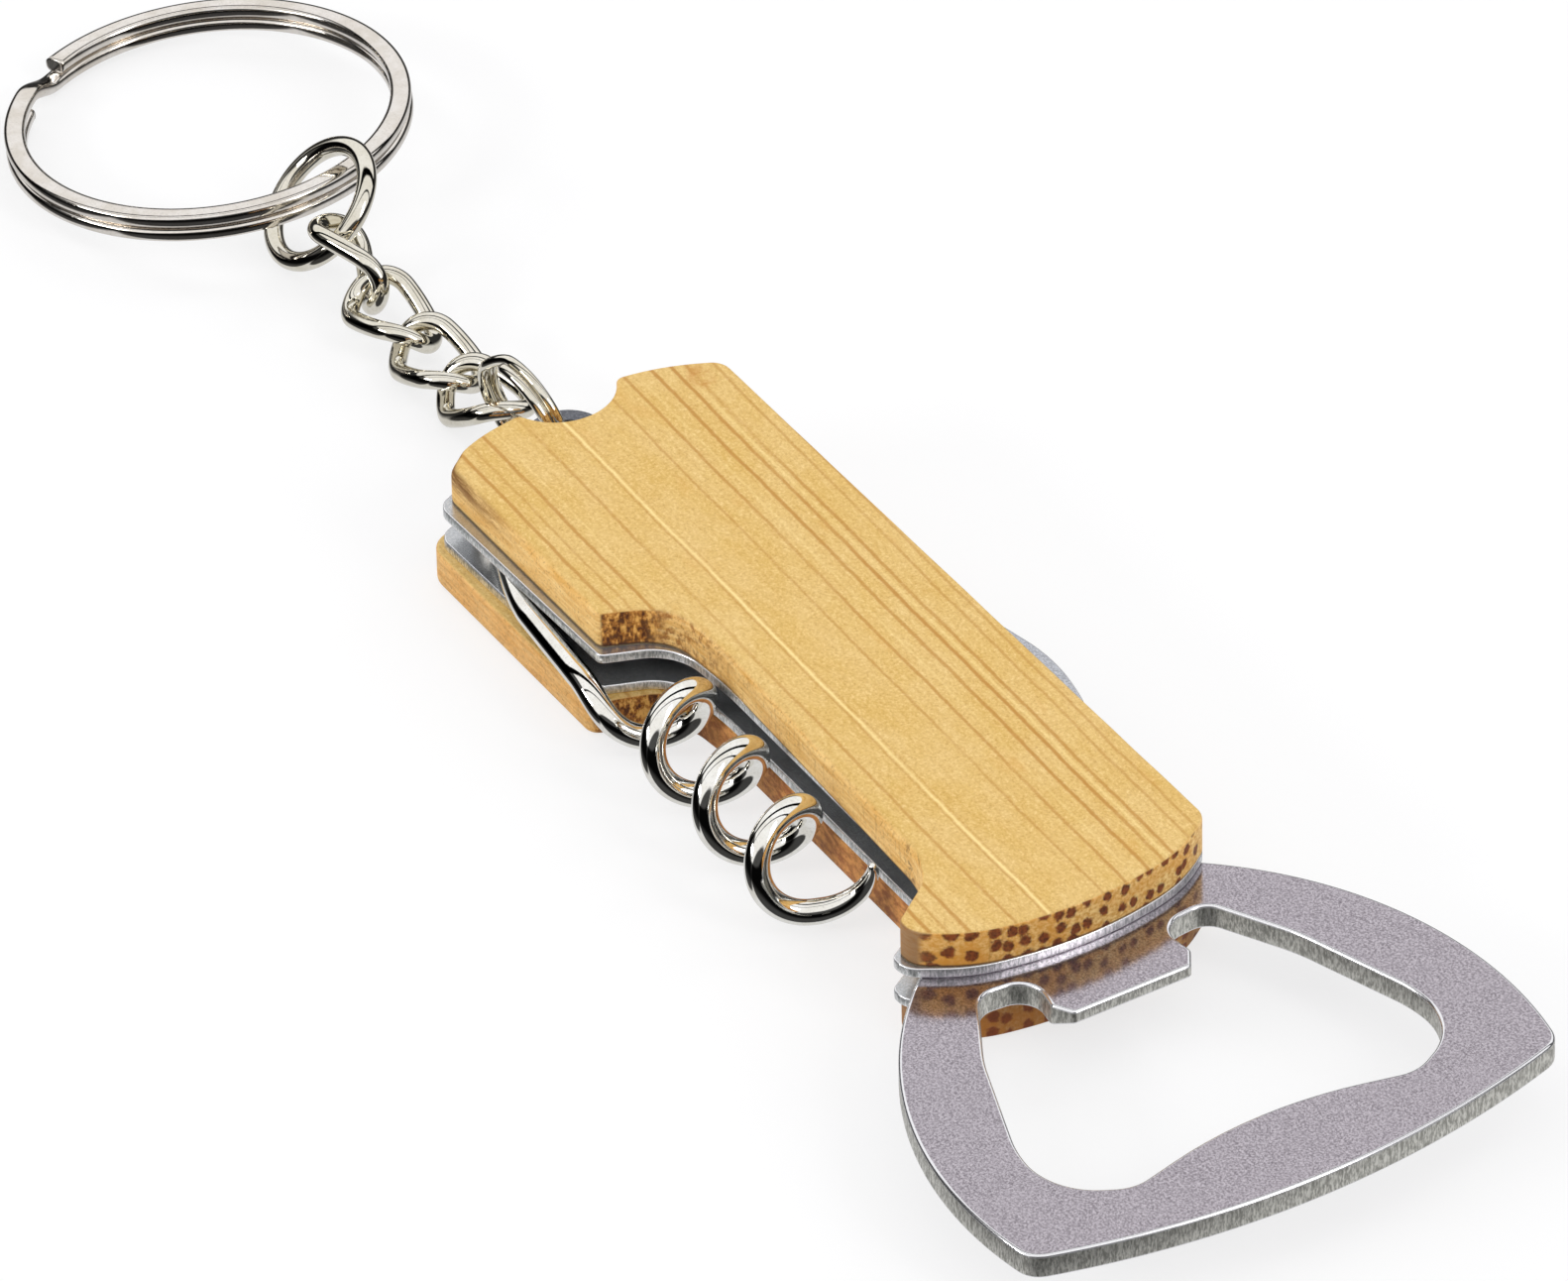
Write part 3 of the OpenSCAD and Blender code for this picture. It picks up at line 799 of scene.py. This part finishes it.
def steel(name, tone, cut_tone, rough, cut_rough, speckle, metal=0.94):
    """Satin rolled steel: fine speckle on the faces, a painted highlight on the rims, upright drag
    lines on cut edges.
    """
    m = Material(name)
    upright = m.math("ABSOLUTE", m.split(m.facing)[2])
    face = m.ramp(upright, 0.3, 0.5)
    rim = m.times(m.ramp(upright, 0.995, 0.96), m.ramp(upright, 0.1, 0.3))
    grain = m.noise(m.place, 5.5, 3, 0.8)
    broad = m.noise(m.place, 0.5, 4, 0.65)
    cut = m.noise(m.stretch(m.place, (3.4, 3.4, 1.0)), 1.5, 4, 0.75)

    def shade(colour, step):
        return srgb(*(max(0, min(255, c + step)) for c in colour))

    flat = m.mix(m.ramp(grain, 0.32, 0.68), shade(tone, -46 * speckle), shade(tone, 36 * speckle))
    flat = m.mix(m.times(m.ramp(broad, 0.35, 0.7), 0.3), flat, shade(tone, 10))
    edge = m.mix(m.ramp(cut, 0.38, 0.62), shade(cut_tone, -42), shade(cut_tone, 34))
    # painted highlight: the rims' colour is turned near white so that they shine as a bright line
    m.use("Base Color", m.paint(m.mix(face, edge, flat), rim, 0.9, (246, 246, 248)))
    m.use("Metallic", metal)
    dull = m.math("MULTIPLY_ADD", face, rough - cut_rough, cut_rough)
    m.use("Roughness", m.shift(dull, grain, 0.08))
    lines = m.times(cut, m.math("SUBTRACT", 1.0, face))
    m.use("Normal", m.bump(m.math("ADD", m.times(grain, 0.3), lines), 0.008, 0.4))
    return m.mat


def nickel(name, tone, rough):
    """Bright plating with small wear marks."""
    m = Material(name)
    broad = m.noise(m.place, 0.5, 3, 0.6)
    scuff = m.noise(m.place, 2.2, 5, 0.7)
    fine = m.noise(m.place, 6.0, 2, 0.7)
    r, g, b = tone
    colour = m.mix(m.ramp(broad, 0.3, 0.7), srgb(r, g, b), srgb(r - 14, g - 16, b - 20))
    colour = m.paint(colour, m.ramp(scuff, 0.6, 0.78), 0.4, (186, 176, 162))
    colour = m.paint(colour, m.ramp(fine, 0.5, 0.8), 0.25, (150, 144, 138))
    m.use("Base Color", colour)
    m.use("Metallic", 1.0)
    m.use("Roughness", m.math("MULTIPLY_ADD", m.ramp(scuff, 0.5, 0.8), 0.12, rough))
    m.use("Normal", m.bump(m.math("ADD", m.times(scuff, 0.5), broad), 0.012, 0.25))
    return m.mat


# the second value browns the bottom cover's walls and end grain, partly as painted shade
BAMBOO_TOP = bamboo("bamboo_top", 0.0)
BAMBOO_BOTTOM = bamboo("bamboo_bottom", 1.0)
LINER = steel("liner_steel", (196, 198, 200), (222, 226, 226), 0.24, 0.34, 0.35, 0.82)
OPENER = steel("opener_steel", (168, 161, 168), (206, 205, 198), 0.14, 0.44, 1.0)
# painted shade: the tab's faces are toned dark to stand for the shade in its hole; its cut edges stay
# light
TAB = steel("tab_steel", (104, 106, 112), (196, 198, 202), 0.2, 0.3, 0.6)
BLADE = steel("blade_steel", (182, 184, 190), (160, 162, 168), 0.2, 0.3, 0.5)
PIN = steel("pin_steel", (170, 170, 176), (160, 160, 164), 0.3, 0.35, 0.5)
NICKEL = nickel("bright_nickel", (247, 246, 241), 0.03)
# painted shade: the eye's plating is toned dull grey and rough so that it shows dark, without glints,
# inside the slot
EYE = nickel("eye_nickel", (176, 174, 170), 0.35)
CHAIN = nickel("chain_nickel", (234, 230, 218), 0.045)
RING = nickel("ring_nickel", (234, 229, 223), 0.11)


# ---- pieces ---------------------------------------------------------------------

def finish_piece(obj, material, body, slot, *nodes):
    obj.data.materials.clear()
    obj.data.materials.append(material)
    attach(obj, body)
    if nodes:
        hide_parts(*nodes)
    return obj


def top_wear(p):
    """Rim radius of the top cover: broad and uneven beside the chain end's -Y edge and the recess."""
    wave = noise.noise(Vector((p.x * 0.28, p.y * 0.28, 2.0)))
    tail = smooth((-p.y - 9.5) / 1.6) * smooth((-9.0 - p.x) / 1.5)
    recess = smooth((p.x + 7.0) / 1.5) * smooth((29.0 - p.x) / 2.0) if p.y < -5.6 else 0.0
    return 0.26 + 0.05 * wave + tail * (0.75 + 0.15 * wave) + recess * (0.6 + 0.22 * wave)


def bottom_wear(p):
    """Rim radius of the bottom cover's upper edge: broader towards -Y at the chain end."""
    return 0.3 + 0.25 * smooth((-p.y - 9.5) / 2.5)


def make_covers():
    top = plate("bamboo_cover_top", handle_outline(TOP_EDGE), [],
                Z_SCALE_2, Z_SCALE_2 + SCALE_T, top_wear, 0.16, 6)
    finish_piece(top, BAMBOO_TOP, "handle", "bamboo", "scale_top")
    bottom = plate("bamboo_cover_bottom", handle_outline(BOTTOM_EDGE, 0.0, 0.8), [],
                   0.0, SCALE_T, 0.22, bottom_wear, 5)
    finish_piece(bottom, BAMBOO_BOTTOM, "handle", "bamboo", "scale_bottom")


def make_liners():
    outline = handle_outline(LINER_EDGE, HEAD_PROUD, 0.75)
    holes = [circle(BLADE_PIVOT, PIN_R), circle(WORM_PIVOT, PIN_R), circle(SPRING_RIVET, RIVET_R),
             circle(TAB_RIVET, SMALL_RIVET_R)] + [circle(c, RIVET_R) for c in OPENER_RIVETS]
    for name, node, low in (("liner_plate_bottom", "liner_bottom", Z_LINER_1),
                            ("liner_plate_top", "liner_top", Z_LINER_2)):
        obj = plate(name, outline, holes, low, low + LINER_T, 0.12)
        finish_piece(obj, LINER, "handle", "liner_steel", node)


def bevel_tooth(obj):
    """Raises the tooth's underside towards its edge, as the CAD does."""
    start = TOOTH_X - LIP_RUN
    bm = bmesh.new()
    bm.from_mesh(obj.data)
    everything = bm.verts[:] + bm.edges[:] + bm.faces[:]
    bmesh.ops.bisect_plane(bm, geom=everything, plane_co=(start * MM, 0, 0), plane_no=(1, 0, 0))
    for v in bm.verts:
        x, y, z = v.co / MM
        if start < x < TOOTH_X + 0.5 and abs(y) < 6 and z < Z_MID:
            v.co.z += LIP_RISE * (x - start) / LIP_RUN * MM
    bm.to_mesh(obj.data)
    bm.free()


def make_opener():
    holes = [resample(cap_opening(), 0.3)] + [circle(c, RIVET_R) for c in OPENER_RIVETS]
    obj = plate("opener_head", opener_outline(), holes, Z_SLOT, Z_SLOT + SLOT_T, 0.28, 0.2, 4)
    bevel_tooth(obj)
    finish_piece(obj, OPENER, "handle", "opener_steel", "opener_plate")


def make_blade():
    hole = circle(BLADE_PIVOT, PIN_R + PIVOT_FIT)
    obj = plate("blade_steel_piece", resample(blade_outline(), 0.4), [hole],
                Z_MID - BLADE_T / 2, Z_MID + BLADE_T / 2, 0.1, 0.1, 2)
    finish_piece(obj, BLADE, "blade", "blade_steel", "blade")


def make_chain():
    """The four links, then the small ring, the jump ring and the key ring."""
    for node in ("chain_link_1", "chain_link_2", "chain_link_3", "chain_link_4"):
        obj = make_link(node + "_wire", *PLACES[node])
        finish_piece(obj, CHAIN, node, "bright_nickel", node)
    obj = make_coil("small_ring_wire", SMALL_RING_R, SMALL_WIRE + TURN_GAP, SMALL_WIRE / 2,
                    SMALL_WIRE / 2, 150, 40, 3, 16, PLACES["small_split_ring"])
    finish_piece(obj, CHAIN, "small_split_ring", "bright_nickel", "small_split_ring")
    finish_piece(make_jump_ring(), CHAIN, "jump_ring", "bright_nickel", "jump_ring")
    obj = make_coil("key_ring_wire", (KEY_RING_D - KEY_WIRE_W) / 2, KEY_WIRE_H + TURN_GAP,
                    KEY_WIRE_W / 2, KEY_WIRE_H / 2, 205, 16, 1.5, 32, PLACES["key_ring"], 2.9)
    finish_piece(obj, RING, "key_ring", "bright_nickel", "key_ring")


def dress_cad_nodes():
    """Materials for the CAD's own meshes that stay visible."""
    for node, material in (("ring_tab", TAB), ("back_spring", LINER), ("blade_pivot_pin", PIN),
                           ("corkscrew_pivot_pin", PIN), ("tab_rivet_pin", PIN),
                           ("spring_rivet_pin", PIN), ("opener_rivet_pins", PIN)):
        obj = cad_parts[node]
        obj.data.materials.clear()
        obj.data.materials.append(material)


make_covers()
make_liners()
make_opener()
make_blade()
worm, worm_eye = make_corkscrew()
finish_piece(worm, NICKEL, "corkscrew", "bright_nickel", "corkscrew")
finish_piece(worm_eye, EYE, "corkscrew", "bright_nickel", "corkscrew")
make_chain()
dress_cad_nodes()


# ---- stage ------------------------------------------------------------------------

FLOOR_HALF = 4.0
FLOOR_DROP = 0.0001
FLOOR_GLOW = 0.72
LIT_POINT = Vector((-0.015, 0, 0))
# level direction from the handle to the camera, which the ceiling's panels lie across
ALONG = (0.857, -0.515, 0.0)
PANEL_FADE = 0.015


def make_floor():
    bm = bmesh.new()
    bmesh.ops.create_grid(bm, x_segments=1, y_segments=1, size=FLOOR_HALF)
    floor = finish_mesh("floor", bm)
    floor.location.z = -FLOOR_DROP
    m = Material("floor_paper")
    tint = m.noise(m.place, 0.01, 2)
    m.use("Base Color", m.mix(tint, (0.93, 0.93, 0.94, 1), (0.95, 0.95, 0.955, 1)))
    m.use("Roughness", 0.9)
    m.use("Specular IOR Level", 0.1)
    # the lens sees it nearly white with a faint shadow
    sight = m.new("ShaderNodeLightPath").outputs["Is Camera Ray"]
    paper = m.new("ShaderNodeMixShader")
    m.set(paper.inputs[0], m.times(sight, FLOOR_GLOW))
    m.link(m.shader.outputs[0], paper.inputs[1])
    m.link(m.new("ShaderNodeEmission").outputs[0], paper.inputs[2])
    m.link(paper.outputs[0], m.out.inputs[0])
    floor.data.materials.append(m.mat)
    # bright metal looks past it into the dark of the room below
    floor.visible_glossy = False


def softbox(name, where, width, height, watts, mirrored=True):
    """A rectangular light aimed at the handle's middle. mirrored: whether metal reflects it."""
    light = bpy.data.lights.new(name, "AREA")
    light.shape = "RECTANGLE"
    light.size, light.size_y = width, height
    light.energy = watts
    obj = bpy.data.objects.new(name, light)
    bpy.context.scene.collection.objects.link(obj)
    obj.location = where
    obj.rotation_mode = "QUATERNION"
    obj.rotation_quaternion = (LIT_POINT - Vector(where)).to_track_quat("-Z", "Y")
    obj.visible_glossy = mirrored


def studio_world():
    """Bright above and dimmer below, dark at the horizon, between the panels and on two sides.

    The dark parts are what put dark bands on bright wire.
    """
    world = bpy.data.worlds.new("studio")
    bpy.context.scene.world = world
    world.use_nodes = True
    m = Nodes(world.node_tree)
    lamp = m.tree.nodes["Background"]
    way = m.new("ShaderNodeTexCoord").outputs["Generated"]

    def toward(direction, low, high, at_low=0.0, at_high=1.0):
        """at_high facing the direction and at_low away from it, by the dot product with it."""
        dot = m.new("ShaderNodeVectorMath", operation="DOT_PRODUCT")
        m.link(way, dot.inputs[0])
        dot.inputs[1].default_value = direction
        return m.ramp(dot.outputs["Value"], low, high, at_low, at_high)

    def gap(low, high):
        """Dark between two ceiling panels, from low to high along ALONG."""
        back_along = tuple(-c for c in ALONG)
        near_panel = toward(ALONG, high - PANEL_FADE, high + PANEL_FADE)
        far_panel = toward(back_along, -low - PANEL_FADE, -low + PANEL_FADE)
        return m.math("ADD", near_panel, far_panel)

    ceiling = toward((0, 0, 1), 0.20, 0.28, 0.03, 1.03)
    panels = m.times(gap(0.11, 0.17), gap(-0.42, -0.24))
    below = toward((0, 0, -1), 0.18, 0.5, 0.0, 0.72)
    camera_side = toward((0.85, -0.51, -0.25), 0.63, 0.70, 1.0, 0.07)
    left_side = toward((-0.50, -0.86, -0.05), 0.76, 0.82, 1.0, 0.08)
    light = m.math("ADD", m.times(ceiling, panels), below)
    m.set(lamp.inputs["Strength"], m.times(light, camera_side, left_side))
    m.set(lamp.inputs["Color"], (0.99, 0.99, 1.0, 1))
    # straight into the lens the surroundings are as pale as the floor
    seen = m.new("ShaderNodeBackground")
    m.set(seen.inputs["Color"], (0.95, 0.95, 0.955, 1))
    pick = m.new("ShaderNodeMixShader")
    m.link(m.new("ShaderNodeLightPath").outputs["Is Camera Ray"], pick.inputs[0])
    m.link(lamp.outputs[0], pick.inputs[1])
    m.link(seen.outputs[0], pick.inputs[2])
    m.link(pick.outputs[0], m.tree.nodes["World Output"].inputs[0])


make_floor()
softbox("key", (-0.10, 0.85, 0.60), 0.35, 0.5, 1.1, mirrored=False)
softbox("side", (-0.85, -0.25, 0.40), 0.25, 0.5, 1.6, mirrored=False)
softbox("front", (0.75, 0.30, 0.50), 0.2, 0.5, 2.0)
softbox("low", (-0.20, -0.90, 0.42), 0.45, 0.16, 3.1)
studio_world()


# ---- camera -----------------------------------------------------------------------

AZIMUTH, ELEVATION, ROLL = -30.99, 37.69, -1.27
TARGET = Vector((-9.11, 4.36, 0)) * MM
DISTANCE = 1.1426
SENSOR_WIDTH = 36
IMAGE_WIDTH = 1582
# focal length, in pixels of an image that wide
FOCAL = 16000


def make_camera():
    data = bpy.data.cameras.new("camera")
    camera = bpy.data.objects.new("camera", data)
    bpy.context.scene.collection.objects.link(camera)
    azimuth, elevation = math.radians(AZIMUTH), math.radians(ELEVATION)
    back = Vector((math.cos(azimuth) * math.cos(elevation),
                   math.sin(azimuth) * math.cos(elevation), math.sin(elevation)))
    camera.location = TARGET + back * DISTANCE
    camera.rotation_mode = "QUATERNION"
    look = (-back).to_track_quat("-Z", "Y")
    camera.rotation_quaternion = look @ Quaternion((0, 0, 1), math.radians(ROLL))
    data.sensor_width = SENSOR_WIDTH
    data.lens = SENSOR_WIDTH * FOCAL / IMAGE_WIDTH
    data.clip_start, data.clip_end = 0.05, 50
    bpy.context.scene.camera = camera


make_camera()
bpy.context.scene.view_settings.view_transform = "Standard"
